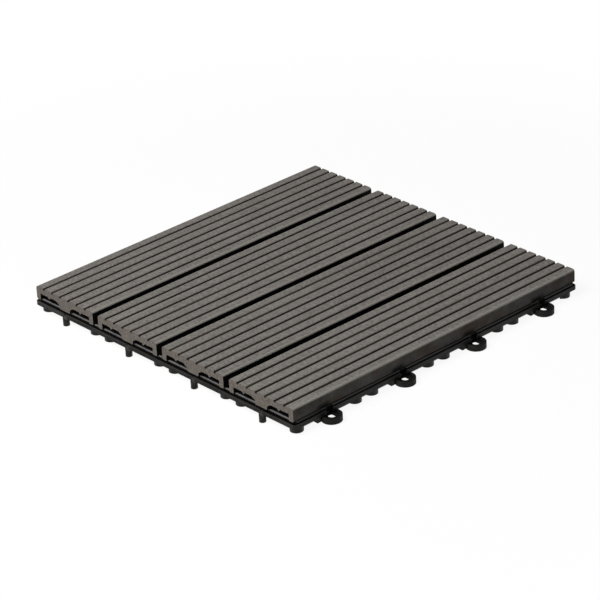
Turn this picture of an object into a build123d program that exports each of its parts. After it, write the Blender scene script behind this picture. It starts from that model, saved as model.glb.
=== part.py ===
import os
from build123d import *

# Interlocking deck tile: four ribbed wood-plastic boards screwed from below
# to a moulded black base that hooks into the next tile with pins and loops.
# Origin: centre of the tile module, on the ground. X runs across the boards,
# Y along them, Z up. Millimetres.

# Module and boards
module = 300
board_count = 4
board_pitch = module / board_count
board_gap = 6.4
end_gap = 1.0
board_width = board_pitch - board_gap
board_length = module - 2 * end_gap
board_height = 11.1
tile_height = 22
seat_z = tile_height - board_height

# Board section
top_round = 2.0
foot_ease = 0.8
groove_count = 6
groove_pitch = 10.0
groove_top = 2.6
groove_floor = 1.6
groove_depth = 1.6
groove_ease = 0.35
channel_height = 5.5
outer_leg = 4.6
centre_leg_half = 6.0
knee_half = 6.8
knee_z = 3.4
flare_half = 10.4
tooth_x = 18.9
tooth_half = 1.8
tooth_drop = 1.7

# Rim of the base: wall, seat and ledge under the board ends, outer flange with a
# thin lip and a dark recess behind it
wall_inset = 4.0
wall_thick = 1.5
wall_outer = module - 2 * wall_inset
rim_inner = wall_outer - 2 * wall_thick
seat_width = 4.0
ledge_overhang = 1.8
ledge_thick = 1.0
flange_inset_x = 1.4
flange_inset_y = 0.2
flange_x = module - 2 * flange_inset_x
flange_y = module - 2 * flange_inset_y
flange_z = 5.5
flange_height = 3.2
flange_floor = 0.8
lip_thick = 1.1
corner_round = 3.0

# Grid of ribs under the boards
rib_count = 9
rib_pitch = rim_inner / (rib_count + 1)
rib_thick = 2.0
rib_height = 3.4

# Feet
foot_radius = 5.2
foot_top = seat_z - rib_height
foot_inset = 8.4
foot_back = 3.0
edge_foot = module / 2 - foot_inset
inner_foot_pitch = 3 * rib_pitch
cross_foot = 11.0

# Interlock: pins on two sides drop into loops on the other two
hook_line = module / 2
hook_shift = 2.0
hook_z = 0.4
pin_radius = 2.7
pin_play = 0.4
relief_play = 0.6
pin_web = 3.8
slit_width = 1.0
slit_length = 7.0
loop_radius = 8.0
loop_wall = 1.6
loop_height = 4.9
cup_depth = 1.3
neck_half = 6.5
neck_length = 7.0
neck_x = hook_line - 5.5
post_width = 5.0
post_x = hook_line - 6.5
post_spread = 8.0
joint = 0.5

# Screw pads under the centre legs
screw_y = 4 * rib_pitch
pad_size = 11.0
hole_radius = 1.8

board_lines = [(i - (board_count - 1) / 2) * board_pitch for i in range(board_count)]
screw_spots = [(x, y) for x in board_lines for y in (-screw_y, screw_y)]

os.makedirs("parts", exist_ok=True)


# Boards: extruded section, ribbed on top, two channels open below
boards = []
for number, centre_x in enumerate(board_lines, start=1):
    with BuildPart() as board:
        with BuildSketch(Plane.XZ.offset(-board_length / 2)) as section:
            with Locations((centre_x, seat_z)):
                Rectangle(board_width, board_height, align=(Align.CENTER, Align.MIN))
            fillet(section.vertices().group_by(Axis.Y)[-1], top_round)
            chamfer(section.vertices().group_by(Axis.Y)[0], foot_ease)
            # grooves along the walking face, their edges eased
            with Locations((centre_x, tile_height)):
                with GridLocations(groove_pitch, 1, groove_count, 1):
                    Polygon(
                        (-groove_top / 2 - groove_ease, 0),
                        (groove_top / 2 + groove_ease, 0),
                        (groove_top / 2, -groove_ease),
                        (groove_floor / 2, -groove_depth),
                        (-groove_floor / 2, -groove_depth),
                        (-groove_top / 2, -groove_ease),
                        align=None,
                        mode=Mode.SUBTRACT,
                    )
            # channel each side of the flared centre leg, a small tooth under its ceiling
            for side in (-1, 1):
                with Locations((centre_x, seat_z)):
                    Polygon(
                        (side * (board_width / 2 - outer_leg), 0),
                        (side * (board_width / 2 - outer_leg), channel_height),
                        (side * (tooth_x + tooth_half), channel_height),
                        (side * tooth_x, channel_height - tooth_drop),
                        (side * (tooth_x - tooth_half), channel_height),
                        (side * flare_half, channel_height),
                        (side * knee_half, knee_z),
                        (side * centre_leg_half, 0),
                        align=None,
                        mode=Mode.SUBTRACT,
                    )
        extrude(amount=board_length)
    board.part.label = f"board_{number}"
    export_step(board.part, f"parts/board_{number}.step")
    boards.append(board)


# Base: one moulding
with BuildPart() as base:
    # wall under the boards
    with BuildSketch(Plane.XY.offset(flange_z)):
        Rectangle(wall_outer, wall_outer)
        Rectangle(rim_inner, rim_inner, mode=Mode.SUBTRACT)
    extrude(amount=seat_z - flange_z)
    # outer flange
    with BuildSketch(Plane.XY.offset(flange_z)):
        RectangleRounded(flange_x, flange_y, corner_round)
        Rectangle(rim_inner, rim_inner, mode=Mode.SUBTRACT)
    extrude(amount=flange_height)
    # seat for the board ends, its edge standing out as a ledge
    with BuildSketch(Plane.XY.offset(seat_z - ledge_thick)):
        RectangleRounded(wall_outer + 2 * ledge_overhang, wall_outer + 2 * ledge_overhang, corner_round)
        Rectangle(wall_outer - 2 * seat_width, wall_outer - 2 * seat_width, mode=Mode.SUBTRACT)
    extrude(amount=ledge_thick)

    # grid of ribs both ways
    with BuildSketch(Plane.XY.offset(seat_z - rib_height)):
        with GridLocations(rib_pitch, 1, rib_count, 1):
            Rectangle(rib_thick, rim_inner + 1)
        with GridLocations(1, rib_pitch, 1, rib_count):
            Rectangle(rim_inner + 1, rib_thick)
    extrude(amount=rib_height)

    # feet along the rim, round outwards: two beside each board gap, one in each corner
    cell_feet = [x + side * (board_pitch / 2 - foot_inset) for x in board_lines for side in (-1, 1)]
    side_feet = [(edge_foot, y) for y in cell_feet[1:-1]]
    corner_foot = [(edge_foot * 2 ** 0.5, 0)]
    with BuildSketch():
        for turn in range(0, 360, 45):
            spots = corner_foot if turn % 90 else side_feet
            with Locations(Location((0, 0, 0), (0, 0, turn))):
                with Locations(spots):
                    Circle(foot_radius)
                with Locations([(x - foot_back, y) for x, y in spots]):
                    Rectangle(2 * foot_back, 2 * foot_radius)
                with Locations([(x - foot_back, y) for x, y in spots]):
                    Rectangle(foot_radius, 2 * foot_radius, align=(Align.MAX, Align.CENTER), mode=Mode.SUBTRACT)
    extrude(amount=foot_top)
    # nine inner feet, where the ribs reach down as crosses
    with BuildSketch():
        with GridLocations(inner_foot_pitch, inner_foot_pitch, 3, 3):
            Rectangle(cross_foot, rib_thick)
            Rectangle(rib_thick, cross_foot)
    extrude(amount=seat_z - rib_height)

    # screw pads on the ribs, with clear holes
    with BuildSketch(Plane.XY.offset(seat_z - rib_height)):
        with Locations(screw_spots):
            Rectangle(pad_size, pad_size)
    extrude(amount=rib_height)
    with BuildSketch(Plane.XY.offset(seat_z - rib_height)):
        with Locations(screw_spots):
            Circle(hole_radius)
    extrude(amount=rib_height, mode=Mode.SUBTRACT)

    # loops on the +X and +Y sides: a round boss on a neck, a post at each side of the neck
    for turn in (0, 90):
        with BuildSketch(Plane.XY.offset(hook_z)):
            with Locations(Location((0, 0, 0), (0, 0, turn))):
                with Locations([(hook_line, y - hook_shift) for y in board_lines]):
                    Circle(loop_radius)
        extrude(amount=loop_height)
        with BuildSketch(Plane.XY.offset(hook_z)):
            with Locations(Location((0, 0, 0), (0, 0, turn))):
                with Locations([(neck_x, y - hook_shift) for y in board_lines]):
                    Rectangle(neck_length, 2 * neck_half)
        extrude(amount=flange_z + joint - hook_z)
        with BuildSketch():
            with Locations(Location((0, 0, 0), (0, 0, turn))):
                with Locations([(post_x, y - hook_shift + side * post_spread)
                                for y in board_lines for side in (-1, 1)]):
                    Rectangle(post_width, post_width)
        extrude(amount=flange_z + joint)
        # shallow cup in the top of each boss, the eye for the pin right through it
        with BuildSketch(Plane.XY.offset(hook_z + loop_height)):
            with Locations(Location((0, 0, 0), (0, 0, turn))):
                with Locations([(hook_line, y - hook_shift) for y in board_lines]):
                    Circle(loop_radius - loop_wall)
        extrude(amount=-cup_depth, mode=Mode.SUBTRACT)
        with BuildSketch(Plane.XY.offset(hook_z)):
            with Locations(Location((0, 0, 0), (0, 0, turn))):
                with Locations([(hook_line, y - hook_shift) for y in board_lines]):
                    Circle(pin_radius + pin_play)
        extrude(amount=loop_height, mode=Mode.SUBTRACT)
        # notch in neck, flange and ledge, so that the next tile's pin can drop past them
        with BuildSketch(Plane.XY.offset(hook_z + loop_height)):
            with Locations(Location((0, 0, 0), (0, 0, turn))):
                with Locations([(hook_line, y - hook_shift) for y in board_lines]):
                    Rectangle(2 * (pin_radius + relief_play), 2 * (pin_radius + relief_play))
        extrude(amount=seat_z - hook_z - loop_height, mode=Mode.SUBTRACT)

    # pins on the -Y and -X sides, each on a web in the flange with a slit beside it
    for turn in (0, -90):
        with BuildSketch(Plane.XY.offset(hook_z)):
            with Locations(Location((0, 0, 0), (0, 0, turn))):
                with Locations([(x + hook_shift, -hook_line) for x in board_lines]):
                    Circle(pin_radius)
        extrude(amount=flange_z - hook_z)
        with BuildSketch(Plane.XY.offset(flange_z)):
            with Locations(Location((0, 0, 0), (0, 0, turn))):
                with Locations([(x + hook_shift, -hook_line) for x in board_lines]):
                    Rectangle(pin_web, pin_web)
        extrude(amount=flange_height)
        with BuildSketch(Plane.XY.offset(flange_z)):
            with Locations(Location((0, 0, 0), (0, 0, turn))):
                with Locations([(x + hook_shift - (pin_web + slit_width) / 2, -hook_line) for x in board_lines]):
                    Rectangle(slit_width, slit_length)
        extrude(amount=flange_height, mode=Mode.SUBTRACT)

    # recess between the wall and the lip of the flange
    with BuildSketch(Plane.XY.offset(flange_z + flange_floor)):
        RectangleRounded(flange_x - 2 * lip_thick, flange_y - 2 * lip_thick, corner_round - lip_thick)
        Rectangle(wall_outer, wall_outer, mode=Mode.SUBTRACT)
    extrude(amount=flange_height - flange_floor, mode=Mode.SUBTRACT)

base.part.label = "base"
export_step(base.part, "parts/base.step")
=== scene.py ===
import math

import bpy
from mathutils import Matrix, Vector


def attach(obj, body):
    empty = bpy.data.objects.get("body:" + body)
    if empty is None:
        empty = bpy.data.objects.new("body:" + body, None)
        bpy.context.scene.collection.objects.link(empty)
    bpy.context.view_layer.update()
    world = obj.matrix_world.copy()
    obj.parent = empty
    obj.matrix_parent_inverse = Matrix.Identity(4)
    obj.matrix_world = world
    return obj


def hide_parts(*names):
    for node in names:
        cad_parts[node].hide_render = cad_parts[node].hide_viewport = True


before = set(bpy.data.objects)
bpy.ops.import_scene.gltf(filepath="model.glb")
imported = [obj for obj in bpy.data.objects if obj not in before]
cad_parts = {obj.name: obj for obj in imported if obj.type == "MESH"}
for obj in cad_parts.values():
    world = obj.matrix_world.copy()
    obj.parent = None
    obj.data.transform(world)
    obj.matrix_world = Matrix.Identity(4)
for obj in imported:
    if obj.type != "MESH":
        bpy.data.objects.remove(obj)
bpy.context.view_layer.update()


# Base. One injection moulding in black polypropylene: rim, ribs, feet, pins and loops.
# It stands on its feet, its rim carries the ends of the boards, and each loop is hollow
# below its eye and open to the inside, so the ground shows through the eye.
pitch = 0.075
loops_on_side = 4
hook_line = 0.150
hook_shift = 0.002
hollow_back = 0.1400
hollow_front = 0.1542
hollow_half = 0.0050
hollow_top = 0.0026


def clear_choice():
    bpy.ops.object.select_all(action="DESELECT")


def take(piece):
    """Makes a piece the only one chosen, and the active one."""
    clear_choice()
    bpy.context.view_layer.objects.active = piece
    piece.select_set(True)


moulding = bpy.data.objects.new("moulding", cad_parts["base"].data.copy())
bpy.context.scene.collection.objects.link(moulding)
take(moulding)
bpy.ops.object.mode_set(mode="EDIT")
bpy.ops.mesh.select_all(action="SELECT")
bpy.ops.mesh.remove_doubles(threshold=0.000001)
bpy.ops.object.mode_set(mode="OBJECT")
# the hollows under the eyes of the eight loops, cut from below the ground up
hollows = []
for turn in (0, 90):
    for number in range(loops_on_side):
        clear_choice()
        spot = Vector((
            (hollow_back + hollow_front) / 2,
            (number - 1.5) * pitch - hook_shift,
            0,
        ))
        spot.rotate(Matrix.Rotation(math.radians(turn), 3, "Z"))
        bpy.ops.mesh.primitive_cube_add(size=1, location=spot)
        hollow = bpy.context.object
        hollow.rotation_euler = (0, 0, math.radians(turn))
        hollow.scale = (hollow_front - hollow_back, 2 * hollow_half, 2 * hollow_top)
        hollows.append(hollow)
take(hollows[0])
for hollow in hollows:
    hollow.select_set(True)
bpy.ops.object.join()
take(moulding)
cut = moulding.modifiers.new("hollows", "BOOLEAN")
cut.operation = "DIFFERENCE"
cut.object = hollows[0]
cut.solver = "EXACT"
bpy.ops.object.modifier_apply(modifier=cut.name)
bpy.data.objects.remove(hollows[0], do_unlink=True)
bpy.ops.object.shade_smooth_by_angle(angle=math.radians(30))


class Amount:
    """A number or colour that changes over a surface. Sums on it add Math nodes."""

    def __init__(self, finish, socket):
        self.finish = finish
        self.socket = socket

    def work(self, operation, first, second=0.0):
        return self.finish.add("ShaderNodeMath", {"operation": operation}, {0: first, 1: second})

    def __add__(self, other):
        return self.work("ADD", self, other)

    def __radd__(self, other):
        return self.work("ADD", other, self)

    def __sub__(self, other):
        return self.work("SUBTRACT", self, other)

    def __rsub__(self, other):
        return self.work("SUBTRACT", other, self)

    def __mul__(self, other):
        return self.work("MULTIPLY", self, other)

    def __rmul__(self, other):
        return self.work("MULTIPLY", other, self)

    def __truediv__(self, other):
        return self.work("DIVIDE", self, other)

    def __pow__(self, other):
        return self.work("POWER", self, other)

    def __abs__(self):
        return self.work("ABSOLUTE", self)


class Finish:
    """A material in the making, with its shader and the nodes that feed it.

    Give puts a value or a link on a socket, add makes a node, spot and faces read the place and
    the way a surface faces, grain is noise, rise a soft step, tint a mix of two colours.
    """

    def __init__(self, name, fixed=None):
        self.material = bpy.data.materials.new(name)
        self.material.use_nodes = True
        self.tree = self.material.node_tree
        self.shader = self.tree.nodes["Principled BSDF"]
        for socket, value in (fixed or {}).items():
            self.give(socket, value)

    def give(self, name, value, node=None):
        socket = (node or self.shader).inputs[name]
        if isinstance(value, Amount):
            self.tree.links.new(value.socket, socket)
        else:
            socket.default_value = value

    def add(self, kind, settings=None, inputs=None, out=0):
        node = self.tree.nodes.new(kind)
        for name, value in (settings or {}).items():
            setattr(node, name, value)
        for name, value in (inputs or {}).items():
            self.give(name, value, node)
        return Amount(self, node.outputs[out])

    def spot(self, axis):
        place = self.add("ShaderNodeTexCoord", out="Object")
        return self.add("ShaderNodeSeparateXYZ", {}, {0: place}, axis)

    def faces(self, axis):
        normal = self.add("ShaderNodeNewGeometry", out="Normal")
        return self.add("ShaderNodeSeparateXYZ", {}, {0: normal}, axis)

    def grain(self, per_metre, detail=2.0, shift=(0, 0, 0)):
        place = self.add("ShaderNodeTexCoord", out="Object")
        placed = self.add(
            "ShaderNodeMapping", {}, {"Vector": place, "Location": shift, "Scale": per_metre}
        )
        return self.add("ShaderNodeTexNoise", {}, {"Vector": placed, "Scale": 1.0, "Detail": detail})

    def rise(self, value, low, high):
        return self.add(
            "ShaderNodeMapRange",
            {"interpolation_type": "SMOOTHSTEP"},
            {"Value": value, "From Min": low, "From Max": high},
        )

    def tint(self, first, second, share):
        first = first if isinstance(first, Amount) else (*first, 1)
        second = second if isinstance(second, Amount) else (*second, 1)
        return self.add("ShaderNodeMix", {"data_type": "RGBA"}, {0: share, 6: first, 7: second}, 2)

    def relief(self, height, depth, strength=1.0):
        bump = self.add(
            "ShaderNodeBump", {}, {"Height": height, "Distance": depth, "Strength": strength}
        )
        self.give("Normal", bump)

    def dress(self, piece):
        piece.data.materials.clear()
        piece.data.materials.append(self.material)


# satin grain of the mould, scuffs, and a little dust on what faces up
black = Finish("black_polypropylene", {"Specular IOR Level": 0.2})
x_place = black.spot("X")
y_place = black.spot("Y")
z_place = black.spot("Z")
reach = black.add("ShaderNodeMath", {"operation": "MAXIMUM"}, {0: abs(x_place), 1: abs(y_place)})
cloud = black.grain((70, 70, 70), 3.0)
blotch = black.grain((260, 260, 420), 3.0, (4.0, 1.0, 2.0))
pits = black.grain((2600, 2600, 2600), 2.0)
scuffs = black.rise(black.grain((900, 120, 500), 4.0), 0.58, 0.8)
dust = black.rise(black.faces("Z"), 0.4, 0.95) * black.rise(cloud, 0.35, 0.7)
plain_black = black.tint((0.007, 0.007, 0.0068), (0.024, 0.022, 0.020), black.rise(blotch, 0.3, 0.75))
scuffed = black.tint(plain_black, (0.045, 0.042, 0.038), scuffs * 0.35)
dusty = black.tint(scuffed, (0.06, 0.058, 0.054), dust * 0.2)
# pale tint on the rim's seat: partly sawdust from trimming the boards, partly a painted highlight that
# is brightest along the board ends
seat = black.rise(z_place, 0.0104, 0.0107) * black.rise(black.faces("Z"), 0.6, 0.95)
seat = seat * black.rise(reach, 0.1460, 0.1465)
highlit_ends = black.rise(abs(y_place), 0.1460, 0.1465)
sawdust_and_highlight = black.tint((0.085, 0.083, 0.082), (0.180, 0.174, 0.177), highlit_ends)
dust_and_highlights = black.tint(dusty, sawdust_and_highlight, seat * (0.45 + cloud * 0.7))
# painted highlight along the top of the flange's lip
lip_highlight = black.rise(0.00875 - z_place, 0.0, 0.00005) * black.rise(z_place, 0.0082, 0.0085)
lip_highlight = lip_highlight * black.rise(reach, 0.1474, 0.1476)
dust_and_highlights = black.tint(dust_and_highlights, (0.050, 0.048, 0.046), lip_highlight * (0.3 + cloud * 0.7))
# painted shade: under the boards, in the recess of the rim, in the cups of the loops and over the loops
# themselves the colour is darkened to near black
under = black.rise(z_place, 0.0104, 0.0107) * black.rise(0.1461 - reach, 0.0, 0.0003)
recess = black.rise(reach, 0.1455, 0.1457) * black.rise(0.00985 - z_place, 0.0, 0.0001)
recess = recess * black.rise(z_place, 0.0060, 0.0062) * black.rise(0.1474 - abs(x_place), 0.0, 0.0001)
recess = recess * black.rise(0.1486 - abs(y_place), 0.0, 0.0001)


def from_loop(over, along):
    """Distance to the nearest loop's middle, from the place outwards and the place along the side."""
    out = over - hook_line
    beside = (black.add("ShaderNodeMath", {"operation": "FRACT"}, {0: along / pitch}) - 0.5) * pitch
    return (out * out + beside * beside) ** 0.5


to_loop = from_loop(x_place, y_place + hook_shift)
to_loop = to_loop.work("MINIMUM", to_loop, from_loop(y_place, x_place - hook_shift))
below_rim = black.rise(0.00515 - z_place, 0.0, 0.0001)
cup = black.rise(0.00645 - to_loop, 0.0, 0.0001) * below_rim
loop = black.rise(0.0084 - to_loop, 0.0, 0.0001) * black.rise(0.0056 - z_place, 0.0, 0.0001)
shaded = under + recess + cup + (1 - cup) * loop * (0.35 + (1 - below_rim) * 0.4)
black.give("Base Color", black.tint(dust_and_highlights, (0.0025, 0.0025, 0.0024), shaded))
black.give("Roughness", 0.42 + cloud * 0.12 + dust * 0.15 + scuffs * 0.08 + shaded * 0.4)
black.relief(pits, 0.00006, 0.5)
black.dress(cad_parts["base"])
black.dress(moulding)
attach(moulding, "root")
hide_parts("base")


# Boards. Four lengths of extruded wood-plastic composite, ribbed on top and hollow below.
# The faces are brushed along the board, the grooves keep the darker skin of the extrusion under
# painted shade, and the ends are sawn, so wood flour and saw lines show there.
groove_pitch = 0.010
board_top = 0.022
seat_top = 0.0109

board = Finish("brushed_wood_plastic", {"Specular IOR Level": 0.15})
across = board.spot("X")
along = board.spot("Y")
height = board.spot("Z")
cell = across.work("FLOOR", across / pitch)
local = across - (cell + 0.5) * pitch
groove = across.work("FLOOR", local / groove_pitch)
phase = across.work("FRACT", local / groove_pitch)
from_groove = abs(phase - 0.5) * (groove_pitch * 1000)
depth = board_top - height
top = board.rise(board.faces("Z"), 0.5, 0.9)
sawn = board.rise(abs(board.faces("Y")), 0.7, 0.9)

# brushed walking face: fine marks across the board, stripes and patches along it
brush = board.grain((1900, 26, 900), 3.0)
hatch = board.grain((420, 1150, 800), 1.0, (9.0, 4.0, 1.0))
stripe = board.grain((260, 5, 160), 2.0, (3.0, 1.0, 0.0))
fibre = board.grain((1100, 330, 1100), 2.0, (7.0, 2.0, 4.0))
patch = board.grain((26, 14, 26), 2.0, (1.0, 5.0, 2.0))
batch = board.add("ShaderNodeTexWhiteNoise", {"noise_dimensions": "1D"}, {"W": cell + 11.3})
tone = 0.47 + (brush - 0.5) * 0.5 + (stripe - 0.5) * 0.5 + (fibre - 0.5) * 0.7 + (hatch - 0.5) * 1.7
tone = tone + (patch - 0.5) * 0.3 + (batch - 0.5) * 0.1
worn = top * board.rise(2.4 - from_groove, 0.0, 1.1)
brushed = board.tint((0.124, 0.114, 0.102), (0.268, 0.249, 0.227), tone + worn * 0.15)
# painted highlight along the rounded outer edges of each board
rounded_edge_highlight = board.rise(abs(local), 0.0318, 0.0332) * board.rise(0.0024 - depth, 0.0, 0.0002)
brushed = board.tint(brushed, (0.36, 0.335, 0.305), rounded_edge_highlight * 0.42)

# grooves keep the dark skin of the extrusion, some a little more than others, darkened further by
# painted shade
groove_tone = 0.5 + (stripe - 0.5) * 1.2 + (brush - 0.5) * 0.4
skin_and_shade = board.tint((0.014, 0.012, 0.010), (0.034, 0.029, 0.024), groove_tone)
pale = board.add("ShaderNodeTexWhiteNoise", {"noise_dimensions": "1D"}, {"W": cell * 7.3 + groove * 1.7})
skin_and_shade = board.tint(skin_and_shade, (0.085, 0.074, 0.062), board.rise(pale, 0.55, 1.0) * 0.8)
in_groove = board.rise(depth, 0.0003, 0.0008) * board.rise(0.0019 - depth, 0.0, 0.0002)
in_groove = in_groove * board.rise(0.0290 - abs(local), 0.0, 0.0006) * (1 - sawn)
faced = board.tint(brushed, skin_and_shade, in_groove)

# flanks: bare skin with brown patches, with painted shade darkening them above the loops and painted
# near-black shade in the gaps
loop_shade_shift = 0.0065
# painted shade on the flanks just above each loop
loop_shade = board.add("ShaderNodeMath", {"operation": "FRACT"}, {0: (along + loop_shade_shift) / pitch})
loop_shade = abs(loop_shade - 0.5) * pitch
loop_shade = board.rise(0.0090 - loop_shade, 0.0, 0.0060) * board.rise(0.0166 - height, 0.0, 0.0040)
mottle = board.grain((95, 60, 75), 3.0, (2.0, 8.0, 5.0))
speck = board.grain((1300, 500, 900), 3.0, (6.0, 1.0, 3.0))
flank_tone = 0.5 + (mottle - 0.5) * 2.6 + (speck - 0.5) * 0.9
flank = board.tint((0.120, 0.108, 0.096), (0.236, 0.224, 0.208), flank_tone)
brown = board.rise(board.grain((120, 70, 90), 2.0, (1.0, 3.0, 7.0)), 0.52, 0.64)
flank = board.tint(flank, (0.185, 0.135, 0.106), brown * 0.7)
flank = board.tint(flank, (0.010, 0.010, 0.010), loop_shade * 0.95)
# painted shade: the flanks facing into the gaps between boards are painted near black
gap_shade = board.rise(0.1450 - abs(across), 0.0, 0.0002)
flank = board.tint(flank, (0.0045, 0.0042, 0.0040), gap_shade)
at_flank = board.rise(abs(local), 0.0340, 0.0343) * (1 - sawn)
faced = board.tint(faced, flank, at_flank)

# painted shade: the channels and the eased feet of the legs are darkened to near black
channel_top = seat_top + 0.0057
foot_top = seat_top + 0.00085
channel = board.rise(0.0299 - abs(local), 0.0, 0.0002)
channel = channel * board.rise(channel_top - height, 0.0, 0.0001)
channel_shade = channel.work("MAXIMUM", channel, board.rise(foot_top - height, 0.0, 0.0002)) * (1 - sawn)
faced = board.tint(faced, (0.006, 0.0055, 0.005), channel_shade)

# sawn ends: flakes of wood flour between the marks of the saw
saw = board.grain((1500, 10, 55), 2.0, (2.0, 0.0, 6.0))
flour = board.grain((1150, 400, 1150), 3.0, (5.0, 3.0, 1.0))
flakes = board.rise(flour, 0.54, 0.66)
end_tone = 0.42 + (saw - 0.5) * 0.9 + (flour - 0.5) * 2.2
sawn_face = board.tint((0.128, 0.112, 0.098), (0.228, 0.200, 0.176), end_tone)
sawn_face = board.tint(sawn_face, (0.310, 0.272, 0.236), flakes * 0.45)
board.give("Base Color", board.tint(faced, sawn_face, sawn))
board.give("Roughness", 0.74 + (brush - 0.5) * 0.16 + sawn * 0.12 - in_groove * 0.06 + at_flank * 0.05)
ridges = brush * 0.5 + fibre * 0.3 + hatch * 0.5
board.relief(ridges * (1 - sawn) + (saw * 0.4 + flour * 0.9) * sawn, 0.00016, 0.55)
for number in range(1, 5):
    board.dress(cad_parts[f"board_{number}"])


# Screws. Eight zinc-plated steel screws with cross recesses, two to a board.
# Each is driven from below through a pad of the base into the board's middle leg,
# so its head lies against the pad's underside.
head_radius = 0.0030
head_height = 0.0018
shank_radius = 0.0015
pad_bottom = 0.0075
shank_top = 0.0172
recess_width = 0.0009
recess_length = 0.0036
recess_depth = 0.0010
head_round = 0.0010
point_height = 0.0020
point_share = 0.25
screw_y = 0.1156
turn_each = 37

zinc = Finish("zinc_plate", {"Metallic": 1.0})
plating = zinc.grain((420, 420, 420), 4.0)
turned = zinc.grain((2600, 2600, 300), 2.0)
zinc.give("Base Color", zinc.tint((0.50, 0.51, 0.53), (0.70, 0.70, 0.69), plating * 0.7 + turned * 0.3))
zinc.give("Roughness", 0.22 + plating * 0.2)
zinc.relief(turned, 0.00003, 0.4)


def choose(piece, mode, wanted):
    """Edit mode on a piece, with only its wanted faces, edges or corners chosen."""
    bpy.context.view_layer.objects.active = piece
    piece.select_set(True)
    bpy.ops.object.mode_set(mode="EDIT")
    bpy.ops.mesh.select_mode(type=mode)
    bpy.ops.mesh.select_all(action="DESELECT")
    bpy.ops.object.mode_set(mode="OBJECT")
    mesh = piece.data
    parts = {"FACE": mesh.polygons, "EDGE": mesh.edges, "VERT": mesh.vertices}[mode]
    for part in parts:
        if wanted(mesh, part):
            part.select = True
    bpy.ops.object.mode_set(mode="EDIT")


def edge_at(level, radius):
    """Tests an edge: both its ends lie on the circle of that radius at that height."""
    def test(mesh, edge):
        ends = [mesh.vertices[v].co for v in edge.vertices]
        return all(
            abs(p.z - level) < 1e-5 and abs(math.hypot(p.x, p.y) - radius) < 1e-5 for p in ends
        )
    return test


def face_at(level):
    """Tests a face: it lies flat at that height."""
    def test(mesh, face):
        return abs(face.center.z - level) < 1e-5 and abs(face.normal.z) > 0.9
    return test


clear_choice()
bpy.ops.mesh.primitive_cylinder_add(
    vertices=40, radius=head_radius, depth=head_height, location=(0, 0, pad_bottom - head_height / 2)
)
first_screw = bpy.context.object
first_screw.name = "screw_1"
bpy.ops.object.transform_apply(location=True, rotation=True, scale=True)
# rounded edge of the head
choose(first_screw, "EDGE", edge_at(pad_bottom - head_height, head_radius))
bpy.ops.mesh.bevel(offset=head_round, segments=4, profile=0.5)
bpy.ops.object.mode_set(mode="OBJECT")
# shank drawn up out of the flat side of the head, then its point
choose(first_screw, "FACE", face_at(pad_bottom))
bpy.ops.mesh.inset(thickness=head_radius - shank_radius, depth=0)
for length in (shank_top - point_height - pad_bottom, point_height):
    bpy.ops.mesh.extrude_region_move(TRANSFORM_OT_translate={"value": (0, 0, length)})
bpy.ops.transform.resize(value=(point_share, point_share, 1), center_override=(0, 0, shank_top))
bpy.ops.object.mode_set(mode="OBJECT")
# cross recess
for turn in (0, 90):
    clear_choice()
    bpy.ops.mesh.primitive_cube_add(size=1, location=(0, 0, pad_bottom - head_height))
    blade = bpy.context.object
    blade.scale = (recess_length, recess_width, 2 * recess_depth)
    blade.rotation_euler = (0, 0, math.radians(turn))
    bpy.ops.object.transform_apply(location=True, rotation=True, scale=True)
    take(first_screw)
    cut = first_screw.modifiers.new("recess", "BOOLEAN")
    cut.operation = "DIFFERENCE"
    cut.object = blade
    cut.solver = "EXACT"
    bpy.ops.object.modifier_apply(modifier=cut.name)
    bpy.data.objects.remove(blade, do_unlink=True)
bpy.ops.object.shade_smooth_by_angle(angle=math.radians(35))
zinc.dress(first_screw)

shape = first_screw.data.copy()
spots = [((column - 1.5) * pitch, side * screw_y) for column in range(4) for side in (-1, 1)]
for number, (x, y) in enumerate(spots, start=1):
    if number == 1:
        screw = first_screw
    else:
        screw = first_screw.copy()
        screw.data = shape.copy()
        screw.name = f"screw_{number}"
        bpy.context.scene.collection.objects.link(screw)
    take(screw)
    screw.rotation_euler = (0, 0, math.radians(number * turn_each))
    screw.location = (x, y, 0)
    bpy.ops.object.transform_apply(location=True, rotation=True, scale=True)
    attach(screw, "root")


# Studio. A pale floor that is plain white to the camera and keeps a faint shadow,
# one large soft lamp in front and to the left, and a dim even surround that looks white.
# Under the tile the floor is grey and doesn't glow, as little light gets there.
clear_choice()
bpy.ops.mesh.primitive_plane_add(size=12, location=(0, 0, 0))
floor = bpy.context.object
floor.name = "floor"

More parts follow.
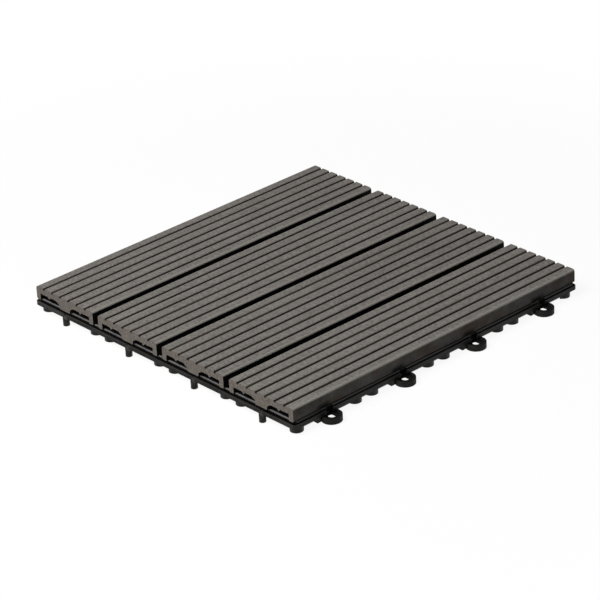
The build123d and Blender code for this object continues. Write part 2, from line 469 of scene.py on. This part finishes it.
ground = Finish("pale_floor", {"Roughness": 0.9, "Specular IOR Level": 0.0})
off_centre = ground.spot("X") * ground.spot("X") + ground.spot("Y") * ground.spot("Y")
square = abs(ground.spot("X"))
square = square.work("MAXIMUM", square, abs(ground.spot("Y")))
open_floor = ground.rise(square, 0.1405, 0.1425)
seen = ground.add("ShaderNodeLightPath", out="Is Camera Ray")
seen = seen.work("MAXIMUM", seen, ground.add("ShaderNodeLightPath", out="Is Glossy Ray"))
seen = seen.work("MAXIMUM", seen, ground.add("ShaderNodeLightPath", out="Is Transmission Ray"))
ground.give("Base Color", ground.tint((0.27, 0.27, 0.27), (0.97, 0.97, 0.97), seen * open_floor))
glow = ground.add("ShaderNodeEmission", {}, {"Color": (1, 1, 1, 1), "Strength": 1.0})
lit = Amount(ground, ground.shader.outputs[0])
share = 0.92 + ground.rise(off_centre, 0.06, 0.30) * 0.08
mixed = ground.add("ShaderNodeMixShader", {}, {0: seen * open_floor * share, 1: lit, 2: glow})
clear = ground.add("ShaderNodeBsdfTransparent")
below = ground.add("ShaderNodeNewGeometry", out="Backfacing")
whole = ground.add("ShaderNodeMixShader", {}, {0: below, 1: mixed, 2: clear})
ground.tree.links.new(whole.socket, ground.tree.nodes["Material Output"].inputs["Surface"])
ground.dress(floor)

world = bpy.data.worlds.new("surround")
bpy.context.scene.world = world
world.use_nodes = True
air = world.node_tree
back = air.nodes["Background"]
path = air.nodes.new("ShaderNodeLightPath")
shade = air.nodes.new("ShaderNodeMix")
shade.data_type = "RGBA"
shade.inputs[6].default_value = (0.04, 0.04, 0.0416, 1)
shade.inputs[7].default_value = (1, 1, 1, 1)
air.links.new(path.outputs["Is Camera Ray"], shade.inputs[0])
air.links.new(shade.outputs[2], back.inputs["Color"])
back.inputs["Strength"].default_value = 1.0

lamp = bpy.data.lights.new("key_lamp", "AREA")
lamp.shape = "DISK"
lamp.size = 1.2
lamp.energy = 46
key = bpy.data.objects.new("key_lamp", lamp)
lamp_way = Vector((-0.05, -0.60, 0.80)).normalized()
lamp_distance = 2.0
key.location = lamp_way * lamp_distance
key.rotation_euler = (-key.location).to_track_quat("-Z", "Y").to_euler()
bpy.context.scene.collection.objects.link(key)

lens = bpy.data.cameras.new("camera")
lens.lens = 179.812
lens.sensor_width = 36
lens.clip_start = 0.1
lens.clip_end = 50
camera = bpy.data.objects.new("camera", lens)
camera.location = (1.54759, -1.38595, 1.06569)
camera.rotation_euler = [math.radians(a) for a in (62.8656, 2.6605, 46.9079)]
bpy.context.scene.collection.objects.link(camera)
bpy.context.scene.camera = camera
bpy.context.scene.view_settings.view_transform = "Standard"
